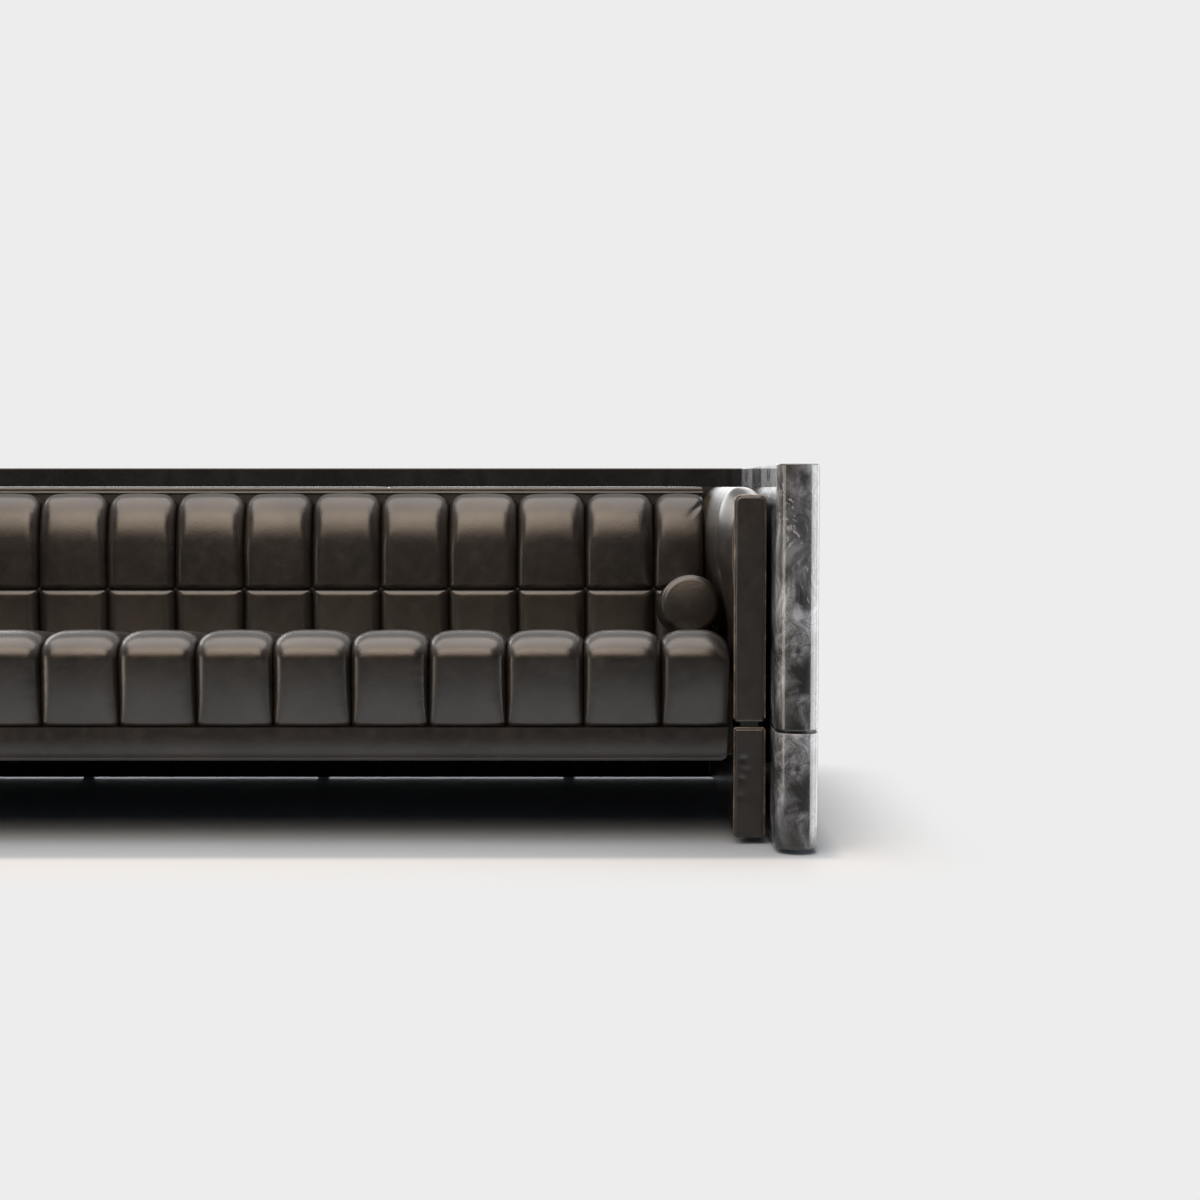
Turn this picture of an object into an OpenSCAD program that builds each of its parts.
// Long channelled leather sofa that stands inside a three-sided burl shell.
// The leather body has padded arms on full-depth legs, a seat and a back sewn in channels,
// and a flat leather ledge behind the back. A narrow gap keeps it clear of the shell.
// Millimetres, +Z up. The front faces -Y. The origin is on the floor under the middle.

/* [Overall] */
// Width over the two end panels
overall_w = 2780; // [2400:10:3200]
// Depth from the front noses to the rear face
overall_d = 1020; // [980:5:1100]
// Height from the floor to the top of the shell
overall_h = 760; // [740:5:820]

/* [Shell] */
// Thickness of an end panel, whose front edge is a half round of this width
end_t = 85; // [76:1:100]
// Thickness of the back panel
back_t = 60; // [48:1:72]
// Height of the shell's lower edge above the floor
shell_lift = 10; // [6:1:16]
// Height of the middle of the shadow groove above the floor
groove_z = 240; // [232:1:250]
// Height of the shadow groove
groove_h = 5; // [3:0.5:8]
// Depth of the shadow groove behind the faces
groove_depth = 9; // [6:0.5:14]
// Small chamfer on the long edges of the panels
edge_chamfer = 2; // [0.5:0.5:4]
// Gap between the shell and the leather body
shell_gap = 13; // [10:0.5:18]

/* [Arms and legs] */
// Distance of the arm fronts behind the noses
arm_setback = 116; // [100:1:130]
// Thickness of an arm or leg at its front
arm_t = 60; // [56:1:72]
// Height of the top of the arms
arm_top = 715; // [690:1:725]
// Drop of the arm's top at its front edge
arm_front_drop = 17; // [8:1:22]
// Swell of the arm's padding towards the seat
arm_crown = 32; // [16:1:36]
// Length over which the padding swells behind the front edge
arm_swell_l = 90; // [60:1:120]
// Radius of the padding over the top of an arm
arm_top_r = 24; // [16:1:28]
// Height of the gap between an arm and its leg
arm_leg_gap = 12; // [8:1:16]
// Height of a leg's underside above the floor
leg_lift = 15; // [8:1:22]
// Thickness of the padding and leather on arms and legs
cover_t = 12; // [9:0.5:14]
// Padding over the top of an arm's core
arm_top_pad = 26; // [20:1:34]
// Radius of the soft edges of legs and facings
leg_round = 9; // [5:0.5:10]

/* [Seat] */
// Height of the crown of the seat, over its front roll
seat_top = 423; // [400:1:438]
// Slope of the seat down towards the back, in degrees
seat_rake = 5; // [2:0.5:7]
// Distance that the seat stands in front of the arms
seat_proud = 11; // [4:1:18]
// Clear depth of the seat from its front to the back pad
seat_depth = 545; // [520:1:560]
// Radius of the roll over the front of the seat
seat_roll = 48; // [36:1:58]
// Thickness of the channelled seat pad at its front crown
seat_pad_t = 93; // [80:1:106]
// Thickness of the seat pad where it hangs in front of the frame
seat_front_t = 45; // [38:1:52]
// Gap between the ends of the seat pad and the arms
seat_end_gap = 10; // [6:1:14]
// Distance from one sewn channel to the next
channel_pitch = 155; // [120:1:190]
// Depth of the sewn gaps between seat channels
channel_depth = 17; // [8:1:22]
// Height of the underside of the apron above the floor
apron_z = 169; // [160:1:172]
// Thickness of the padded apron
apron_t = 12; // [8:0.5:14]
// Distance of the apron behind the front of the seat
apron_setback = 6; // [2:0.5:10]
// Radius of the apron's lower corners
apron_corner = 16; // [8:1:22]
// Thickness of the leather that wraps under the front rail
apron_wrap_t = 6.7; // [4:0.1:8]

/* [Back] */
// Thickness of the channelled back pad
back_pad_t = 65; // [54:1:72]
// Height of the top of the back pad
back_pad_top = 698; // [670:1:702]
// Height of the sewn line between the two rows of the back pad
back_seam_z = 484; // [460:1:520]
// Radius of the roll over the top of the back pad
back_roll = 34; // [24:1:44]
// Depth of the sewn gaps between back channels
back_channel_depth = 18; // [8:1:22]
// Depth of the sewn line between the two rows
back_seam_depth = 13; // [6:1:16]
// Height of the top of the leather ledge
ledge_top = 716; // [706:1:724]
// Thickness of the padded ledge panels
ledge_t = 11; // [8:0.5:14]
// Half the length of the middle ledge panel at its rear edge
ledge_mid_half = 420; // [300:5:600]
// Sideways run of the slanted joints of the ledge
ledge_slant = 60; // [0:5:120]
// Gap at the joints of the ledge
ledge_joint = 1.5; // [0.5:0.5:3]

/* [Bolsters] */
// Diameter of a bolster
bolster_d = 126; // [96:1:132]
// Length of a bolster
bolster_l = 318; // [240:1:420]
// Radius of the rim at the ends of a bolster
bolster_rim = 16; // [8:1:24]
// Swell of the ends of a bolster
bolster_dome = 4; // [1:0.5:8]
// Thickness of the leather on a bolster
bolster_skin = 2.5; // [1.5:0.5:4]
// Gap between a bolster and the foot of the arm beside it
bolster_arm_gap = 15.5; // [14:0.5:40]

/* [Inner frame] */
// Width of the seat rails
rail_w = 40; // [32:1:44]
// Height of the seat rails
rail_h = 60; // [58:0.5:62]
// Number of bays between the back ribs
bay_count = 6; // [4:2:8]
// Thickness of a back rib
rib_t = 25; // [18:1:30]
// Diameter of the lightening holes in a rib
rib_hole_d = 90; // [50:5:110]
// Thickness of the back board
board_t = 12; // [9:1:15]
// Thickness of the board under the ledge
ledge_board_t = 15; // [12:1:18]
// Thickness of the foam behind the back pad
back_foam_t = 37; // [28:1:44]
// Width of a webbing strap
strap_w = 60; // [40:1:80]
// Thickness of a webbing strap
strap_t = 2.5; // [1.5:0.5:3.5]
// Straps in each bay
straps_per_bay = 3; // [1:1:4]
// Number of straps across the back
back_strap_count = 4; // [3:1:5]
// Leg length of the corner blocks in the seat frame
block_leg = 80; // [60:5:100]
// Thickness of the dust cover
dust_t = 1.5; // [1:0.5:2.5]

/* [Hardware] */
// Diameter of the wooden dowels
dowel_d = 10; // [8:0.5:12]
// Length of the wooden dowels
dowel_l = 60; // [50:1:70]
// Diameter of the bolts
bolt_d = 8; // [6:0.5:10]
// Diameter of the bolt heads
bolt_head_d = 14; // [12:0.5:18]
// Height of the bolt heads
bolt_head_h = 5; // [4:0.5:6]
// Length of thread that a bolt holds in the panel behind it
bolt_grip = 26; // [20:1:30]
// Diameter of the washers between body and shell
standoff_d = 50; // [36:1:60]
// Diameter of the floor glides
glide_d = 30; // [20:1:40]
// Diameter of the stem of a glide
stem_d = 8; // [6:0.5:10]
// Length of the stem of a glide above its foot
stem_l = 25; // [18:1:32]
// Leg width of the steel corner angles
angle_leg = 60; // [50:1:70]
// Thickness of the steel corner angles
angle_t = 3; // [2:0.5:4]
// Diameter of the small screws
screw_d = 4.5; // [3:0.5:5]
// Diameter of the small screw heads
screw_head_d = 8.5; // [7:0.5:10]
// Height of the small screw heads
screw_head_h = 2.5; // [1.5:0.5:3]
// Length that a small screw reaches into wood
screw_bite = 22; // [16:1:26]

/* [Hidden] */

// Clearance between pieces that rest on each other, and inside bores
fit = 0.3;
bore_gap = 0.4;
// Overrun of every cut
over = 1;
// Clearance between neighbouring cushions
pad_gap = 2;
$fn = 48;

// Shell
half_w = overall_w / 2;
front_y = -overall_d / 2;
rear_y = overall_d / 2;
nose_r = end_t / 2;
shell_in_x = half_w - end_t;
shell_mid_x = half_w - nose_r;
shell_in_y = rear_y - back_t;
shell_mid_y = rear_y - back_t / 2;
lower_top = groove_z - groove_h / 2;
upper_bottom = groove_z + groove_h / 2;

// Arms and legs
arm_out_x = shell_in_x - shell_gap;
arm_in_x = arm_out_x - arm_t;
arm_mid_x = arm_out_x - arm_t / 2;
arm_front_y = front_y + arm_setback;
body_rear_y = shell_in_y - shell_gap;
arm_bottom = groove_z + arm_leg_gap / 2;
leg_top = groove_z - arm_leg_gap / 2;
facing_rear_y = arm_front_y + cover_t;
pad_front_y = facing_rear_y + fit;
core_in_x = arm_in_x + cover_t;
core_out_x = arm_out_x - cover_t;
arm_core_top = arm_top - arm_top_pad;
leg_core_bottom = leg_lift + cover_t;
crown_x = arm_in_x - arm_crown;

// Seat
seat_front_y = arm_front_y - seat_proud;
seat_in_y = seat_front_y + seat_front_t;
seat_base = seat_top - seat_pad_t;
seat_roll_y = seat_front_y + seat_roll;
seat_roll_z = seat_top - seat_roll;
// Height of the raked crown behind the front roll
function seat_line(y) = seat_roll_z + seat_roll / cos(seat_rake) - (y - seat_roll_y) * tan(seat_rake);
back_face_y = seat_front_y + seat_depth;
seat_rear_y = back_face_y - pad_gap;
seat_half = arm_in_x - seat_end_gap;
channels_a_side = round(seat_half / channel_pitch);
apron_front_y = seat_front_y + apron_setback;
rail_bottom = apron_z + apron_wrap_t + fit;
rail_top = rail_bottom + rail_h;
rail_front_y = apron_front_y + apron_t + fit;
rail_in_y = rail_front_y + rail_w;
end_rail_out_x = arm_in_x - fit;
end_rail_in_x = end_rail_out_x - rail_w;

// Back
back_half = crown_x - pad_gap;
back_rear_y = back_face_y + back_pad_t;
rib_front_y = back_rear_y + fit + back_foam_t + fit + strap_t;
board_front_y = body_rear_y - board_t;
rear_rail_front_y = board_front_y - rail_w;
ledge_bottom = ledge_top - ledge_t;
rib_top = ledge_bottom - ledge_board_t;
ledge_front_y = back_rear_y + pad_gap;
bay = 2 * (back_half - rib_t / 2) / bay_count;
rib_places = [for (i = [0:bay_count]) -back_half + rib_t / 2 + i * bay];

// Bolsters rest on the seat beside the arms, against the back pad
bolster_x = arm_in_x - bolster_arm_gap - bolster_d / 2;
bolster_y = back_face_y - pad_gap - bolster_l / 2;
bolster_z = seat_line(bolster_y) + (bolster_d / 2 + fit) / cos(seat_rake);

// Rows of hardware, as shares of the length of what they hold
glide_shares = [0.08, 0.5, 0.92];
back_glide_shares = [0.16, 0.39, 0.61, 0.84];
dowel_shares = [0.2, 0.5, 0.8];
back_dowel_shares = [0.1, 0.3, 0.5, 0.7, 0.9];
leg_bolt_shares = [0.25, 0.55, 0.82];
standoff_shares = [0.15, 0.42, 0.7];
board_bolt_shares = [0.28, 0.82];
rib_screw_shares = [0.22, 0.5, 0.85];
rib_hole_shares = [0.3, 0.7];
angle_screw_shares = [0.15, 0.5, 0.85];
angle_height_share = 0.6;
shell_len = overall_d - end_t;
leg_len = body_rear_y - facing_rear_y;
standoff_z = (leg_lift + leg_top) / 2;
frame_bolt_z = rail_bottom + rail_h / 2;
board_bolt_x = bay / 2;

function along(a, b, share) = a + (b - a) * share;
function arc(cx, cy, r, a0, a1, steps) =
    [for (i = [0:steps]) [cx + r * cos(along(a0, a1, i / steps)), cy + r * sin(along(a0, a1, i / steps))]];
function smooth(t) = let (s = min(1, max(0, t))) s * s * (3 - 2 * s);

// Colours as the photograph shows them
burl_colour = "dimgray";
leather_colour = [0.16, 0.14, 0.13];
strip_colour = "black";
timber_colour = "burlywood";
ply_colour = "tan";
foam_colour = "khaki";
strap_colour = "darkslategray";
steel_colour = "silver";

// Draws a piece of the right side, and its mirror image on the left
module both_sides() {
    children();
    mirror([1, 0, 0]) children();
}

// A block from its lowest to its highest corner
module block(low, high) {
    translate(low) cube(high - low);
}

// A round bar along Z, with no gap below or above
module bar_z(x, y, z0, z1, d) {
    translate([x, y, z0]) cylinder(h = z1 - z0, d = d);
}

// A round bar along X
module bar_x(x0, x1, y, z, d) {
    translate([x0, y, z]) rotate([0, 90, 0]) cylinder(h = x1 - x0, d = d);
}

// A round bar along Y
module bar_y(x, y0, y1, z, d) {
    translate([x, y0, z]) rotate([-90, 0, 0]) cylinder(h = y1 - y0, d = d);
}

// Places of the shell's hardware, on the right side
function shell_y(share) = along(front_y + nose_r, rear_y - nose_r, share);
function back_x(share) = along(-shell_in_x, shell_in_x, share);
function leg_y(share) = along(facing_rear_y, body_rear_y, share);

// Half of an end panel's section, from its middle line to its face
function panel_half(z0, z1, c) =
    [[0, z0], [nose_r - c, z0], [nose_r, z0 + c], [nose_r, z1 - c], [nose_r - c, z1], [0, z1]];

// Plate with the plan of an end panel: half round in front, rounded outer corner behind
module end_plate(z0, z1, c, inset) {
    r = nose_r - inset;
    half = [for (p = panel_half(z0, z1, c)) [max(0, p[0] - inset), p[1]]];
    whole = concat(half, [for (i = [len(half) - 2:-1:1]) [-half[i][0], half[i][1]]]);
    translate([shell_mid_x, front_y + nose_r, 0]) rotate([0, 0, 180]) rotate_extrude(angle = 180)
        polygon(half);
    translate([shell_mid_x, rear_y - nose_r, 0]) rotate([90, 0, 0]) linear_extrude(shell_len) polygon(whole);
    translate([shell_mid_x, rear_y - nose_r, 0]) rotate_extrude(angle = 90) polygon(half);
    translate([shell_mid_x, rear_y - inset, 0]) rotate([90, 0, 0]) linear_extrude(r) mirror([1, 0])
        polygon(half);
}

// Bores for the dowels that join the two rows of shell panels on one side
module end_dowel_bars(d, gap) {
    for (s = dowel_shares)
        bar_z(shell_mid_x, shell_y(s), groove_z - dowel_l / 2 - gap, groove_z + dowel_l / 2 + gap, d);
}

module back_dowel_bars(d, gap) {
    for (s = back_dowel_shares)
        bar_z(back_x(s), shell_mid_y, groove_z - dowel_l / 2 - gap, groove_z + dowel_l / 2 + gap, d);
}

// Corner angles stand in the gap behind the arms, one to each row of panels
angle_upper_z = along(upper_bottom, rib_top, (1 - angle_height_share) / 2);
angle_upper_h = (rib_top - upper_bottom) * angle_height_share;
angle_lower_z = along(shell_lift, lower_top, (1 - angle_height_share) / 2);
angle_lower_h = (lower_top - shell_lift) * angle_height_share;

module corner_screw_bars(z0, h, d, gap) {
    for (s = angle_screw_shares) {
        bar_x(shell_in_x - angle_t, shell_in_x + screw_bite + gap, shell_in_y - angle_leg / 2, z0 + h * s, d);
        bar_y(shell_in_x - angle_leg / 2, shell_in_y - angle_t, shell_in_y + screw_bite + gap, z0 + h * s, d);
    }
}

module corner_screw_heads(z0, h) {
    for (s = angle_screw_shares) {
        bar_x(shell_in_x - angle_t - screw_head_h, shell_in_x - angle_t, shell_in_y - angle_leg / 2,
            z0 + h * s, screw_head_d);
        bar_y(shell_in_x - angle_leg / 2, shell_in_y - angle_t - screw_head_h, shell_in_y - angle_t,
            z0 + h * s, screw_head_d);
    }
}

// Bolts that hold the shell to the leather body, through the legs and the back board
module side_bolt_bars(d, gap) {
    for (s = standoff_shares)
        bar_x(core_in_x, shell_in_x + bolt_grip + gap, leg_y(s), standoff_z, d);
}

module board_bolt_bars(d, gap) {
    for (x = [board_bolt_x, board_bolt_x + 2 * bay])
        for (s = board_bolt_shares)
            bar_y(x, board_front_y, shell_in_y + bolt_grip + gap, along(rail_top, rib_top, s), d);
}

module end_panel_upper_right() {
    color(burl_colour) difference() {
        end_plate(upper_bottom, overall_h, edge_chamfer, 0);
        end_dowel_bars(dowel_d + bore_gap, over);
        corner_screw_bars(angle_upper_z, angle_upper_h, screw_d + bore_gap, over);
    }
}
module end_panel_upper_left() { mirror([1, 0, 0]) end_panel_upper_right(); }

module end_panel_lower_right() {
    color(burl_colour) difference() {
        end_plate(shell_lift, lower_top, edge_chamfer, 0);
        end_dowel_bars(dowel_d + bore_gap, over);
        corner_screw_bars(angle_lower_z, angle_lower_h, screw_d + bore_gap, over);
        side_bolt_bars(bolt_d + bore_gap, over);
        for (s = glide_shares)
            bar_z(shell_mid_x, shell_y(s), shell_lift - over, shell_lift + stem_l + over, stem_d + bore_gap);
    }
}
module end_panel_lower_left() { mirror([1, 0, 0]) end_panel_lower_right(); }

// Back panel between the end panels, with chamfered long edges
module back_plate(z0, z1) {
    c = edge_chamfer;
    translate([-shell_in_x, 0, 0]) rotate([90, 0, 90]) linear_extrude(2 * shell_in_x)
        polygon([[shell_in_y, z0 + c], [shell_in_y + c, z0], [rear_y - c, z0], [rear_y, z0 + c],
            [rear_y, z1 - c], [rear_y - c, z1], [shell_in_y + c, z1], [shell_in_y, z1 - c]]);
}

module back_panel_upper() {
    color(burl_colour) difference() {
        back_plate(upper_bottom, overall_h);
        back_dowel_bars(dowel_d + bore_gap, over);
        both_sides() corner_screw_bars(angle_upper_z, angle_upper_h, screw_d + bore_gap, over);
        both_sides() board_bolt_bars(bolt_d + bore_gap, over);
    }
}

module back_panel_lower() {
    color(burl_colour) difference() {
        back_plate(shell_lift, lower_top);
        back_dowel_bars(dowel_d + bore_gap, over);
        both_sides() corner_screw_bars(angle_lower_z, angle_lower_h, screw_d + bore_gap, over);
        for (s = back_glide_shares)
            bar_z(back_x(s), shell_mid_y, shell_lift - over, shell_lift + stem_l + over, stem_d + bore_gap);
    }
}

// Dark strips set back in the groove between the two rows of panels
module groove_strip_right() {
    color(strip_colour) difference() {
        end_plate(lower_top, upper_bottom, 0, groove_depth);
        end_dowel_bars(dowel_d + bore_gap, over);
    }
}
module groove_strip_left() { mirror([1, 0, 0]) groove_strip_right(); }

module groove_strip_back() {
    end_x = shell_in_x + groove_depth;
    color(strip_colour) difference() {
        block([-end_x, shell_in_y + groove_depth, lower_top], [end_x, rear_y - groove_depth, upper_bottom]);
        back_dowel_bars(dowel_d + bore_gap, over);
    }
}

module panel_dowels() {
    color(timber_colour) {
        both_sides() end_dowel_bars(dowel_d, 0);
        back_dowel_bars(dowel_d, 0);
    }
}

module corner_angle(z0, h) {
    x0 = shell_in_x - angle_leg;
    y0 = shell_in_y - angle_leg;
    difference() {
        translate([0, 0, z0]) linear_extrude(h)
            polygon([[x0, shell_in_y - angle_t], [shell_in_x - angle_t, shell_in_y - angle_t],
                [shell_in_x - angle_t, y0], [shell_in_x, y0], [shell_in_x, shell_in_y], [x0, shell_in_y]]);
        corner_screw_holes(z0, h);
    }
}

module corner_screw_holes(z0, h) {
    for (s = angle_screw_shares) {
        bar_x(shell_in_x - angle_t - over, shell_in_x + over, shell_in_y - angle_leg / 2, z0 + h * s,
            screw_d + bore_gap);
        bar_y(shell_in_x - angle_leg / 2, shell_in_y - angle_t - over, shell_in_y + over, z0 + h * s,
            screw_d + bore_gap);
    }
}

module corner_angles() {
    color(steel_colour) both_sides() {
        corner_angle(angle_upper_z, angle_upper_h);
        corner_angle(angle_lower_z, angle_lower_h);
    }
}

module corner_screws() {
    color(steel_colour) both_sides() {
        corner_screw_bars(angle_upper_z, angle_upper_h, screw_d, 0);
        corner_screw_heads(angle_upper_z, angle_upper_h);
        corner_screw_bars(angle_lower_z, angle_lower_h, screw_d, 0);
        corner_screw_heads(angle_lower_z, angle_lower_h);
    }
}

// A round foot with a stem that is driven into the panel above it
module glide(x, y, lift) {
    bar_z(x, y, 0, lift, glide_d);
    bar_z(x, y, 0, lift + stem_l, stem_d);
}

module shell_glides_right() {
    color(steel_colour) for (s = glide_shares) glide(shell_mid_x, shell_y(s), shell_lift);
}
module shell_glides_left() { mirror([1, 0, 0]) shell_glides_right(); }

module shell_glides_back() {
    color(steel_colour) for (s = back_glide_shares) glide(back_x(s), shell_mid_y, shell_lift);
}

// Thick washers that keep the gap between the leather body and the shell
module shell_standoffs() {
    color(strip_colour) both_sides() {
        difference() {
            for (s = standoff_shares) bar_x(arm_out_x, shell_in_x, leg_y(s), standoff_z, standoff_d);
            side_bolt_bars(bolt_d + bore_gap, 0);
        }
        difference() {
            for (x = [board_bolt_x, board_bolt_x + 2 * bay])
                for (s = board_bolt_shares)
                    bar_y(x, body_rear_y, shell_in_y, along(rail_top, rib_top, s), standoff_d);
            board_bolt_bars(bolt_d + bore_gap, 0);
        }
    }
}

module shell_bolts() {
    color(steel_colour) both_sides() {
        side_bolt_bars(bolt_d, 0);
        for (s = standoff_shares)
            bar_x(core_in_x, core_in_x + bolt_head_h, leg_y(s), standoff_z, bolt_head_d);
        board_bolt_bars(bolt_d, 0);
        for (x = [board_bolt_x, board_bolt_x + 2 * bay])
            for (s = board_bolt_shares)
                bar_y(x, board_front_y - bolt_head_h, board_front_y, along(rail_top, rib_top, s),
                    bolt_head_d);
    }
}

// Bores through the cores for the dowels between arm and leg
module arm_dowel_bars(d, gap) {
    for (s = dowel_shares)
        bar_z(arm_mid_x, leg_y(s), groove_z - dowel_l / 2 - gap, groove_z + dowel_l / 2 + gap, d);
}

module arm_core_right() {
    color(ply_colour) difference() {
        block([core_in_x, pad_front_y, arm_bottom], [core_out_x, board_front_y, arm_core_top]);
        arm_dowel_bars(dowel_d + bore_gap, over);
    }
}
module arm_core_left() { mirror([1, 0, 0]) arm_core_right(); }

// Recessed board between arm and leg, seen as the dark line on the front
module arm_spacer_right() {
    color(strip_colour) difference() {
        block([core_in_x, pad_front_y, leg_top], [core_out_x, board_front_y, arm_bottom]);
        arm_dowel_bars(dowel_d + bore_gap, over);
    }
}
module arm_spacer_left() { mirror([1, 0, 0]) arm_spacer_right(); }

module arm_dowels() {
    color(timber_colour) both_sides() arm_dowel_bars(dowel_d, 0);
}

// Bolts from the seat frame into the legs
module frame_bolt_bars(d, gap) {
    for (s = leg_bolt_shares)
        bar_x(end_rail_in_x - gap, core_out_x - bolt_head_h + gap, leg_y(s), frame_bolt_z, d);
}

module leg_core_right() {
    color(ply_colour) difference() {
        block([core_in_x, pad_front_y, leg_core_bottom], [core_out_x, board_front_y, leg_top]);
        arm_dowel_bars(dowel_d + bore_gap, over);
        frame_bolt_bars(bolt_d + bore_gap, over);
        side_bolt_bars(bolt_d + bore_gap, over);
        for (s = standoff_shares)
            bar_x(core_in_x - over, core_in_x + bolt_head_h + fit, leg_y(s), standoff_z,
                bolt_head_d + bore_gap);
        for (s = glide_shares)
            bar_z(arm_mid_x, leg_y(s), leg_lift, leg_lift + stem_l + over, stem_d + bore_gap);
    }
}
module leg_core_left() { mirror([1, 0, 0]) leg_core_right(); }

// Padded leather wrapped round three sides of the leg, open at the top for the core
module leg_cover_right() {
    r = leg_round;
    outline = concat(
        [[core_in_x - fit, leg_top], [arm_in_x, leg_top]],
        arc(arm_in_x + r, leg_lift + r, r, 180, 270, 5),
        arc(arm_out_x - r, leg_lift + r, r, 270, 360, 5),
        [[arm_out_x, leg_top], [core_out_x + fit, leg_top], [core_out_x + fit, leg_core_bottom - fit],
            [core_in_x - fit, leg_core_bottom - fit]]);
    color(leather_colour) difference() {
        translate([0, body_rear_y, 0]) rotate([90, 0, 0]) linear_extrude(leg_len - fit) polygon(outline);
        for (s = leg_bolt_shares)
            bar_x(arm_in_x - over, core_in_x, leg_y(s), frame_bolt_z, bolt_d + bore_gap);
        for (s = standoff_shares)
            bar_x(core_out_x, arm_out_x + over, leg_y(s), standoff_z, bolt_d + bore_gap);
        for (s = glide_shares)
            bar_z(arm_mid_x, leg_y(s), leg_lift - over, leg_core_bottom, stem_d + bore_gap);
    }
}
module leg_cover_left() { mirror([1, 0, 0]) leg_cover_right(); }

// Outline of a facing seen from the front
function facing_outline(z0, z1, low_r, high_r) = concat(
    arc(arm_in_x + low_r, z0 + low_r, low_r, 180, 270, 4),
    arc(arm_out_x - low_r, z0 + low_r, low_r, 270, 360, 4),
    arc(arm_out_x - high_r, z1 - high_r, high_r, 0, 90, 6),
    arc(arm_in_x + high_r, z1 - high_r, high_r, 90, 180, 6));

module facing(outline) {
    translate([0, facing_rear_y, 0]) rotate([90, 0, 0]) linear_extrude(cover_t) polygon(outline);
}

module arm_facing_right() {
    color(leather_colour)
        facing(facing_outline(arm_bottom, arm_top - arm_front_drop, leg_round / 2, arm_top_r / 2));
}
module arm_facing_left() { mirror([1, 0, 0]) arm_facing_right(); }

module leg_facing_right() {
    color(leather_colour) facing(facing_outline(leg_lift, leg_top, leg_round, leg_round / 2));
}
module leg_facing_left() { mirror([1, 0, 0]) leg_facing_right(); }

module leg_glides_right() {
    color(steel_colour) for (s = glide_shares) glide(arm_mid_x, leg_y(s), leg_lift);
}
module leg_glides_left() { mirror([1, 0, 0]) leg_glides_right(); }

// A closed sheet with thickness: two grids of points with as many rows and columns.
// The first grid is the outer face, and the second lies behind it.
module thick_sheet(outer, inner) {
    rows = len(outer);
    cols = len(outer[0]);
    skip = rows * cols;
    points = concat([for (row = outer) each row], [for (row = inner) each row]);
    function at(i, j) = i * cols + j;
    function quad(a, b, c, d) = [[a, b, c], [a, c, d]];
    polyhedron(points, concat(
        [for (i = [0:rows - 2]) for (j = [0:cols - 2]) each
            quad(at(i, j), at(i + 1, j), at(i + 1, j + 1), at(i, j + 1))],
        [for (i = [0:rows - 2]) for (j = [0:cols - 2]) each
            quad(skip + at(i, j), skip + at(i, j + 1), skip + at(i + 1, j + 1), skip + at(i + 1, j))],
        [for (j = [0:cols - 2]) each quad(at(0, j), at(0, j + 1), skip + at(0, j + 1), skip + at(0, j))],
        [for (j = [0:cols - 2]) each
            quad(at(rows - 1, j + 1), at(rows - 1, j), skip + at(rows - 1, j), skip + at(rows - 1, j + 1))],
        [for (i = [0:rows - 2]) each quad(at(i + 1, 0), at(i, 0), skip + at(i, 0), skip + at(i + 1, 0))],
        [for (i = [0:rows - 2]) each
            quad(at(i, cols - 1), at(i + 1, cols - 1), skip + at(i + 1, cols - 1), skip + at(i, cols - 1))]),
        convexity = 6);
}

// Padding of an arm. It swells towards the seat from the seat's roll upwards, and over the top.
// Behind the seat pad it swells from lower down, up to the end of the back pad.
arm_rise_shares = [0, 0.2, 0.38, 0.52, 0.66, 0.8, 1];
arm_front_shares = [0, 0.06, 0.2, 0.42, 0.7, 1];
arm_start_share = 0.35;
arm_reach_share = 0.62;
arm_foot_share = 0.25;
arm_foot_z = seat_top - seat_roll * arm_foot_share;
function arm_swell(y) = smooth(arm_start_share + (y - pad_front_y) / arm_swell_l);
function arm_height(y) = arm_top - arm_front_drop * (1 - arm_swell(y));
function arm_rise(y, z) = y > back_face_y
    ? smooth((z - seat_base) / (seat_top - seat_base))
    : smooth((z - arm_foot_z) / (arm_core_top - arm_foot_z) / arm_reach_share);
function arm_face_x(y, z) = arm_in_x - arm_crown * arm_swell(y) * arm_rise(y, z);
function arm_outer_row(y) = let (
    top = arm_height(y),
    shoulder = top - arm_top_r,
    face = arm_face_x(y, shoulder))
    concat(
        [for (s = arm_rise_shares) let (z = along(arm_bottom, shoulder, s)) [arm_face_x(y, z), y, z]],
        [for (p = arc(face + arm_top_r, shoulder, arm_top_r, 150, 90, 2)) [p[0], y, p[1]]],
        [for (p = arc(arm_out_x - arm_top_r, shoulder, arm_top_r, 90, 30, 2)) [p[0], y, p[1]]],
        [for (s = [1, 0.5, 0]) [arm_out_x, y, along(arm_bottom, shoulder, s)]]);
roof_shares = [0, 0.3, 0.45, 0.55, 0.7, 1];
wall_share = 0.96;
function arm_inner_row(y) = let (roof = arm_core_top + fit) concat(
    [for (s = arm_rise_shares) [core_in_x - fit, y, along(arm_bottom, roof, s * wall_share)]],
    [for (s = roof_shares) [along(core_in_x - fit, core_out_x + fit, s), y, roof]],
    [for (s = [wall_share, 0.5, 0]) [core_out_x + fit, y, along(arm_bottom, roof, s)]]);

module arm_pad_right() {
    stations = concat([for (s = arm_front_shares) along(pad_front_y, seat_rear_y, s)],
        [back_face_y + back_channel_depth, body_rear_y]);
    color(leather_colour)
        thick_sheet([for (y = stations) arm_outer_row(y)], [for (y = stations) arm_inner_row(y)]);
}
module arm_pad_left() { mirror([1, 0, 0]) arm_pad_right(); }

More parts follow.
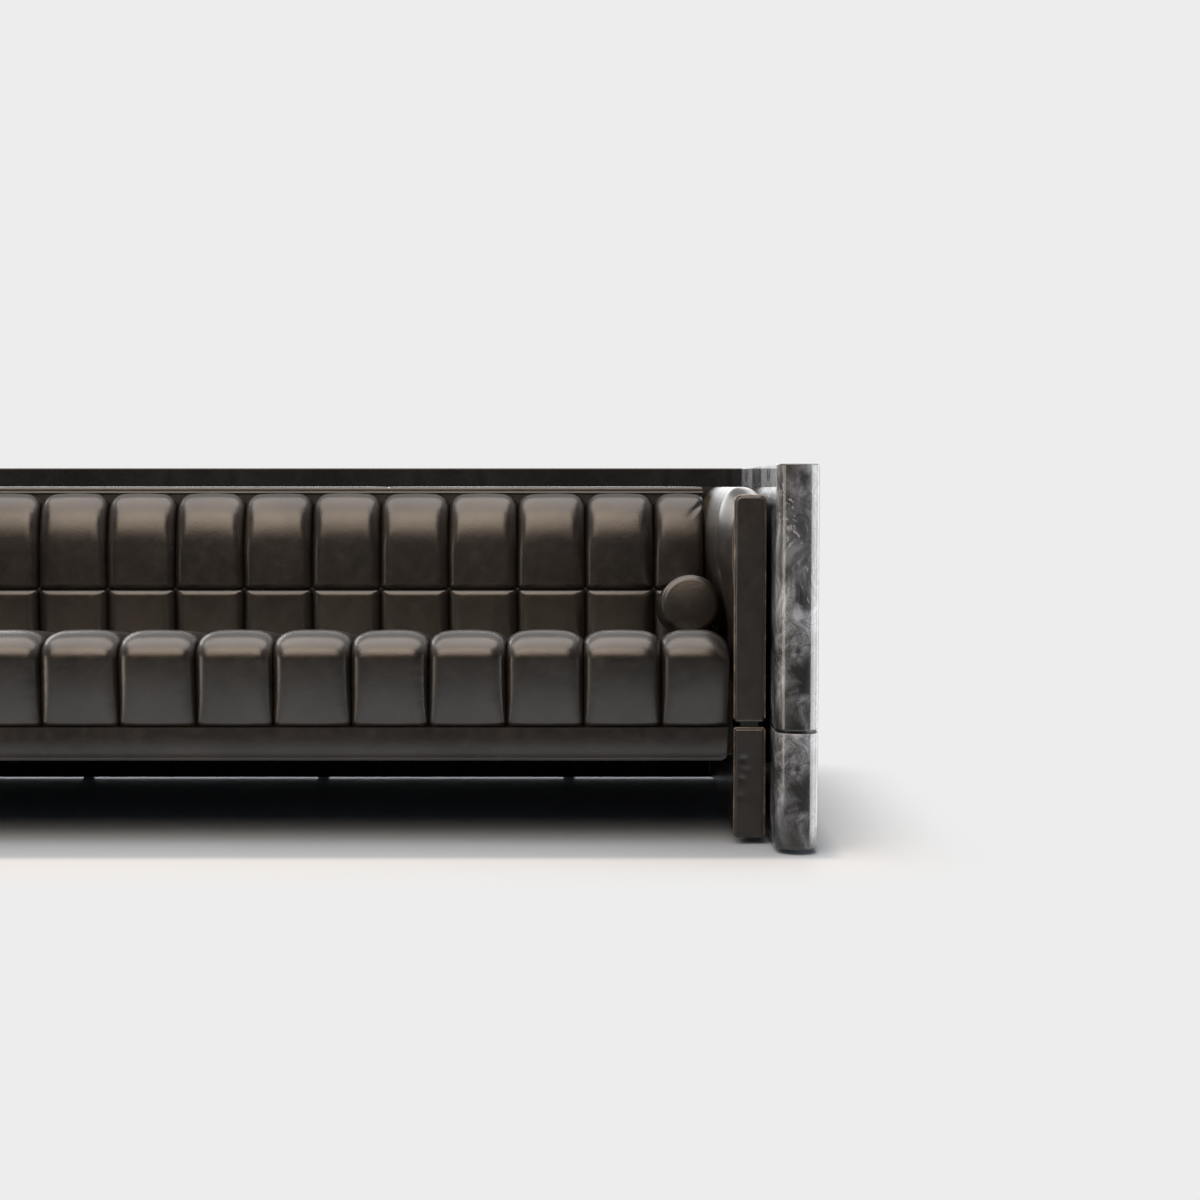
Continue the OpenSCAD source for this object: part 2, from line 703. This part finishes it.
// Seat frame. The front rail stops inside the ends of the seat.
front_rail_inset_share = 0.25;
module front_rail() {
    half = seat_half - rail_w * front_rail_inset_share;
    color(timber_colour) block([-half, rail_front_y, rail_bottom], [half, rail_in_y, rail_top]);
}

module rear_rail() {
    color(timber_colour)
        block([-end_rail_in_x, rear_rail_front_y, rail_bottom], [end_rail_in_x, board_front_y, rail_top]);
}

module end_rail_right() {
    color(timber_colour) difference() {
        block([end_rail_in_x, rail_in_y, rail_bottom], [end_rail_out_x, board_front_y, rail_top]);
        frame_bolt_bars(bolt_d + bore_gap, over);
    }
}
module end_rail_left() { mirror([1, 0, 0]) end_rail_right(); }

module cross_rails() {
    color(timber_colour)
        for (i = [bay_count / 2 - 2, bay_count / 2, bay_count / 2 + 2])
            block([rib_places[i] - rail_w / 2, rail_in_y, rail_bottom],
                [rib_places[i] + rail_w / 2, rear_rail_front_y, rail_top]);
}

// Three-cornered blocks glued in the corners of the seat frame
module corner_blocks() {
    color(timber_colour) both_sides() {
        translate([0, 0, rail_bottom]) linear_extrude(rail_h - strap_t)
            polygon([[end_rail_in_x, rail_in_y], [end_rail_in_x, rail_in_y + block_leg],
                [end_rail_in_x - block_leg, rail_in_y]]);
        translate([0, 0, rail_bottom]) linear_extrude(rail_h - strap_t)
            polygon([[end_rail_in_x, rear_rail_front_y], [end_rail_in_x - block_leg, rear_rail_front_y],
                [end_rail_in_x, rear_rail_front_y - block_leg]]);
    }
}

module frame_bolts() {
    color(steel_colour) both_sides() {
        frame_bolt_bars(bolt_d, 0);
        for (s = leg_bolt_shares)
            bar_x(end_rail_in_x - bolt_head_h, end_rail_in_x, leg_y(s), frame_bolt_z, bolt_head_d);
    }
}

// Elastic straps from the front rail to the rear rail, between the ribs
module seat_webbing() {
    color(strap_colour)
        for (i = [0:bay_count - 1])
            for (k = [1:straps_per_bay])
                let (x = rib_places[i] + rib_t / 2 + (bay - rib_t) * (k - 0.5) / straps_per_bay)
                    block([x - strap_w / 2, seat_in_y + pad_gap, rail_top],
                        [x + strap_w / 2, rear_rail_front_y + rail_w / 2, rail_top + strap_t]);
}

module seat_foam() {
    color(foam_colour)
        block([-seat_half, seat_in_y + fit, rail_top + strap_t + fit],
            [seat_half, rib_front_y - strap_t - fit, seat_base - fit]);
}

// Places of the columns of a channelled pad. Every channel has five, and its gaps are sewn down.
lobe_place_shares = [0, 0.07, 0.28, 0.72, 0.93];
lobe_height_shares = [0, 0.62, 0.97, 0.97, 0.62];
function channel_edges(half) =
    concat([-half], [for (i = [1 - channels_a_side:channels_a_side - 1]) i * channel_pitch], [half]);
function column_places(half) = let (e = channel_edges(half)) concat(
    [for (i = [0:len(e) - 2]) for (s = lobe_place_shares) along(e[i], e[i + 1], s)], [half]);
function column_heights(half) = concat(
    [for (i = [0:len(channel_edges(half)) - 2]) each lobe_height_shares], [0]);

// A pad whose outer face runs along a path of [y, z, outward y, outward z, depth of the gaps].
// Behind it are two flat faces that meet at one inner corner, [y, z].
module channelled_pad(half, path, start, corner, end) {
    places = column_places(half);
    heights = column_heights(half);
    rows = len(path);
    cols = len(places);
    face = [for (p = path) for (j = [0:cols - 1])
        [places[j], p[0] - p[2] * p[4] * (1 - heights[j]), p[1] - p[3] * p[4] * (1 - heights[j])]];
    first = rows * cols;
    last = first + cols;
    inner = last + cols;
    points = concat(face, [for (x = places) [x, start[0], start[1]]], [for (x = places) [x, end[0], end[1]]],
        [[-half, corner[0], corner[1]], [half, corner[0], corner[1]]]);
    bottom = (rows - 1) * cols;
    polyhedron(points, concat(
        [for (i = [0:rows - 2]) for (j = [0:cols - 2]) let (a = i * cols + j) each
            [[a, a + 1, a + cols + 1], [a, a + cols + 1, a + cols]]],
        [for (j = [0:cols - 2]) each [[first + j, first + j + 1, j + 1], [first + j, j + 1, j]]],
        [for (j = [0:cols - 2]) each
            [[bottom + j, bottom + j + 1, last + j + 1], [bottom + j, last + j + 1, last + j]]],
        [for (j = [0:cols - 2]) [inner, first + j + 1, first + j]],
        [[inner, inner + 1, first + cols - 1]],
        [for (j = [0:cols - 2]) [inner, last + j, last + j + 1]],
        [[inner, last + cols - 1, inner + 1]],
        [[inner, first, 0], [inner, bottom, last]],
        [for (i = [0:rows - 2]) [inner, i * cols, (i + 1) * cols]],
        [[inner + 1, cols - 1, first + cols - 1], [inner + 1, last + cols - 1, bottom + cols - 1]],
        [for (i = [0:rows - 2]) [inner + 1, (i + 2) * cols - 1, (i + 1) * cols - 1]]),
        convexity = 10);
}

// Seat pad: a crown that falls towards the back, a roll over the front, and a drawn-in lower edge.
// The three rows of that edge have a height, a distance drawn in, and a depth of their gaps.
seat_run_shares = [0, 0.12, 0.55, 1];
seat_dip_shares = [0.3, 0.05, 0, 0];
seat_roll_angles = [18, 42, 66, 90];
seat_edge_height_shares = [0.3, 0.1, 0];
seat_edge_draw_shares = [0, 0.15, 0.7];
seat_edge_gap_shares = [0.8, 0.5, 0.2];
function seat_path() = let (
    run_front_y = seat_roll_y + seat_roll * sin(seat_rake),
    low = rail_top + fit)
    concat(
        [for (i = [0:3]) let (y = along(seat_rear_y, run_front_y, seat_run_shares[i]))
            [y, seat_line(y) - seat_dip_shares[i] * channel_depth, 0, 1, channel_depth]],
        [for (a = seat_roll_angles) [seat_roll_y - seat_roll * sin(a), seat_roll_z + seat_roll * cos(a),
            -sin(a), cos(a), channel_depth]],
        [for (i = [0:2]) [seat_front_y + channel_depth * seat_edge_draw_shares[i],
            along(low, seat_roll_z, seat_edge_height_shares[i]), -1, 0,
            channel_depth * seat_edge_gap_shares[i]]]);

module seat_pad() {
    color(leather_colour) channelled_pad(seat_half, seat_path(), [seat_rear_y, seat_base],
        [seat_in_y, seat_base], [seat_in_y, rail_top + fit]);
}

// Back pad: two rows of channels with a sewn line between them, and a roll over the top.
// On both sides of the line the leather is drawn in, and the gaps get shallower towards it.
back_roll_angles = [0, 30, 60, 90];
back_rear_drop_share = 0.2;
back_face_share = 0.45;
line_side_draw_share = 0.25;
line_side_gap_share = 0.8;
line_gap_share = 0.4;
line_spread_share = 3;
function back_path() = let (
    low = seat_base + fit,
    roll_y = back_face_y + back_roll,
    roll_z = back_pad_top - back_roll,
    d = back_channel_depth,
    line = back_seam_depth)
    concat(
        [[back_rear_y, back_pad_top - d * back_rear_drop_share, 0, 1, d]],
        [for (a = back_roll_angles)
            [roll_y - back_roll * sin(a), roll_z + back_roll * cos(a), -sin(a), cos(a), d]],
        [[back_face_y, along(roll_z, back_seam_z, back_face_share), -1, 0, d],
            [back_face_y + line * line_side_draw_share, back_seam_z + line, -1, 0, d * line_side_gap_share],
            [back_face_y + line, back_seam_z, -1, 0, d * line_gap_share],
            [back_face_y + line * line_side_draw_share, back_seam_z - line, -1, 0, d * line_side_gap_share],
            [back_face_y, back_seam_z - line * line_spread_share, -1, 0, d],
            [back_face_y, low, -1, 0, d]]);

module back_pad() {
    color(leather_colour) channelled_pad(back_half, back_path(), [back_rear_y, back_pad_top - back_roll],
        [back_rear_y - back_seam_depth / 2, back_seam_z], [back_rear_y, seat_base + fit]);
}

apron_point_shares = [0.1, 0.3, 0.5, 0.7, 0.88];

// Padded apron on the front rail, wrapped under it, with rounded lower corners at its ends
module apron() {
    half = seat_half - pad_gap;
    r = apron_corner;
    bulge = apron_setback / 2;
    section = concat(
        [[rail_front_y - fit, rail_top], [apron_front_y + bulge, rail_top]],
        [for (s = apron_point_shares)
            [apron_front_y + bulge * (1 - sin(180 * s)), along(rail_top, apron_z, s)]],
        [[apron_front_y + bulge + apron_wrap_t / 2, apron_z], [rail_in_y, apron_z],
            [rail_in_y, rail_bottom - fit], [rail_front_y - fit, rail_bottom - fit]]);
    color(leather_colour) intersection() {
        translate([-half, 0, 0]) rotate([90, 0, 90]) linear_extrude(2 * half) polygon(section);
        translate([0, rail_in_y + over, 0]) rotate([90, 0, 0]) linear_extrude(rail_w + 2 * apron_t + 2 * over)
            polygon(concat(arc(-half + r, apron_z + r, r, 180, 270, 6),
                arc(half - r, apron_z + r, r, 270, 360, 6),
                [[half, rail_top + over], [-half, rail_top + over]]));
    }
}

module dust_cover() {
    color(strip_colour)
        block([-end_rail_out_x, rail_in_y + fit, rail_bottom - fit - dust_t],
            [end_rail_out_x, body_rear_y, rail_bottom - fit]);
}

// Plywood ribs that carry the back, with lightening holes
module back_ribs() {
    mid_y = (rib_front_y + board_front_y) / 2;
    color(ply_colour)
        for (x = rib_places)
            translate([x - rib_t / 2, 0, 0]) difference() {
                block([0, rib_front_y, rail_top], [rib_t, board_front_y, rib_top]);
                for (s = rib_hole_shares)
                    bar_x(-over, rib_t + over, mid_y, along(rail_top, rib_top, s), rib_hole_d);
                for (s = rib_screw_shares)
                    bar_y(rib_t / 2, board_front_y - screw_bite - over, board_front_y + over,
                        along(rail_top, rib_top, s), screw_d + bore_gap);
            }
}

module back_board() {
    color(ply_colour) difference() {
        block([-back_half, board_front_y, rail_bottom], [back_half, body_rear_y, rib_top]);
        for (x = rib_places)
            for (s = rib_screw_shares)
                bar_y(x, board_front_y - over, body_rear_y + over, along(rail_top, rib_top, s),
                    screw_d + bore_gap);
        both_sides() board_bolt_bars(bolt_d + bore_gap, 0);
    }
}

module back_screws() {
    color(steel_colour)
        for (x = rib_places)
            for (s = rib_screw_shares) {
                bar_y(x, board_front_y - screw_bite, body_rear_y, along(rail_top, rib_top, s), screw_d);
                bar_y(x, body_rear_y, body_rear_y + screw_head_h, along(rail_top, rib_top, s), screw_head_d);
            }
}

// Straps across the front of the ribs
module back_webbing() {
    color(strap_colour)
        for (i = [1:back_strap_count])
            let (z = along(seat_base, rib_top, (i - 0.5) / back_strap_count))
                block([-back_half, rib_front_y - strap_t, z - strap_w / 2],
                    [back_half, rib_front_y, z + strap_w / 2]);
}

module back_foam() {
    color(foam_colour)
        block([-back_half, back_rear_y + fit, seat_base + fit],
            [back_half, rib_front_y - strap_t - fit, rib_top - pad_gap]);
}

module ledge_board() {
    color(ply_colour) block([-back_half, ledge_front_y, rib_top], [back_half, body_rear_y, ledge_bottom]);
}

// Leather ledge panels that meet on slanted joints
module ledge_panel(front0, rear0, front1, rear1) {
    translate([0, 0, ledge_bottom]) linear_extrude(ledge_t)
        polygon([[front0, ledge_front_y], [front1, ledge_front_y], [rear1, body_rear_y],
            [rear0, body_rear_y]]);
}

module ledge_middle() {
    half = ledge_mid_half - ledge_joint / 2;
    color(leather_colour) ledge_panel(-half - ledge_slant, -half, half + ledge_slant, half);
}

module ledge_right() {
    start = ledge_mid_half + ledge_joint / 2;
    color(leather_colour) ledge_panel(start + ledge_slant, start, back_half, back_half);
}
module ledge_left() { mirror([1, 0, 0]) ledge_right(); }

// Half section of a bolster, from its axis outwards, drawn in by the given amount.
// Each domed end has one point between its middle and its rim.
dome_place_share = 0.6;
dome_height_share = 0.7;
function bolster_half(inset) = let (
    r = bolster_d / 2 - inset,
    rim = bolster_rim - inset,
    face = bolster_l / 2 - bolster_dome - inset,
    mid = (r - rim) * dome_place_share,
    swell = bolster_dome * dome_height_share)
    concat([[0, -face - bolster_dome], [mid, -face - swell]],
        arc(r - rim, -face + rim, rim, 270, 360, 5),
        arc(r - rim, face - rim, rim, 0, 90, 5),
        [[mid, face + swell], [0, face + bolster_dome]]);

module bolster_solid(inset) {
    translate([bolster_x, bolster_y, bolster_z]) rotate([90 - seat_rake, 0, 0]) rotate_extrude()
        polygon(bolster_half(inset));
}

module bolster_cover_right() {
    color(leather_colour) difference() {
        bolster_solid(0);
        bolster_solid(bolster_skin);
    }
}
module bolster_cover_left() { mirror([1, 0, 0]) bolster_cover_right(); }

module bolster_filling_right() {
    color(foam_colour) bolster_solid(bolster_skin + fit);
}
module bolster_filling_left() { mirror([1, 0, 0]) bolster_filling_right(); }

end_panel_upper_left();
end_panel_upper_right();
end_panel_lower_left();
end_panel_lower_right();
back_panel_upper();
back_panel_lower();
groove_strip_left();
groove_strip_right();
groove_strip_back();
panel_dowels();
corner_angles();
corner_screws();
shell_glides_left();
shell_glides_right();
shell_glides_back();
shell_standoffs();
shell_bolts();
arm_core_left();
arm_core_right();
arm_pad_left();
arm_pad_right();
arm_facing_left();
arm_facing_right();
arm_spacer_left();
arm_spacer_right();
leg_core_left();
leg_core_right();
leg_cover_left();
leg_cover_right();
leg_facing_left();
leg_facing_right();
leg_glides_left();
leg_glides_right();
arm_dowels();
front_rail();
rear_rail();
end_rail_left();
end_rail_right();
cross_rails();
corner_blocks();
frame_bolts();
seat_webbing();
seat_foam();
seat_pad();
apron();
dust_cover();
back_ribs();
back_board();
back_screws();
back_webbing();
back_foam();
back_pad();
ledge_board();
ledge_left();
ledge_middle();
ledge_right();
bolster_cover_left();
bolster_filling_left();
bolster_cover_right();
bolster_filling_right();
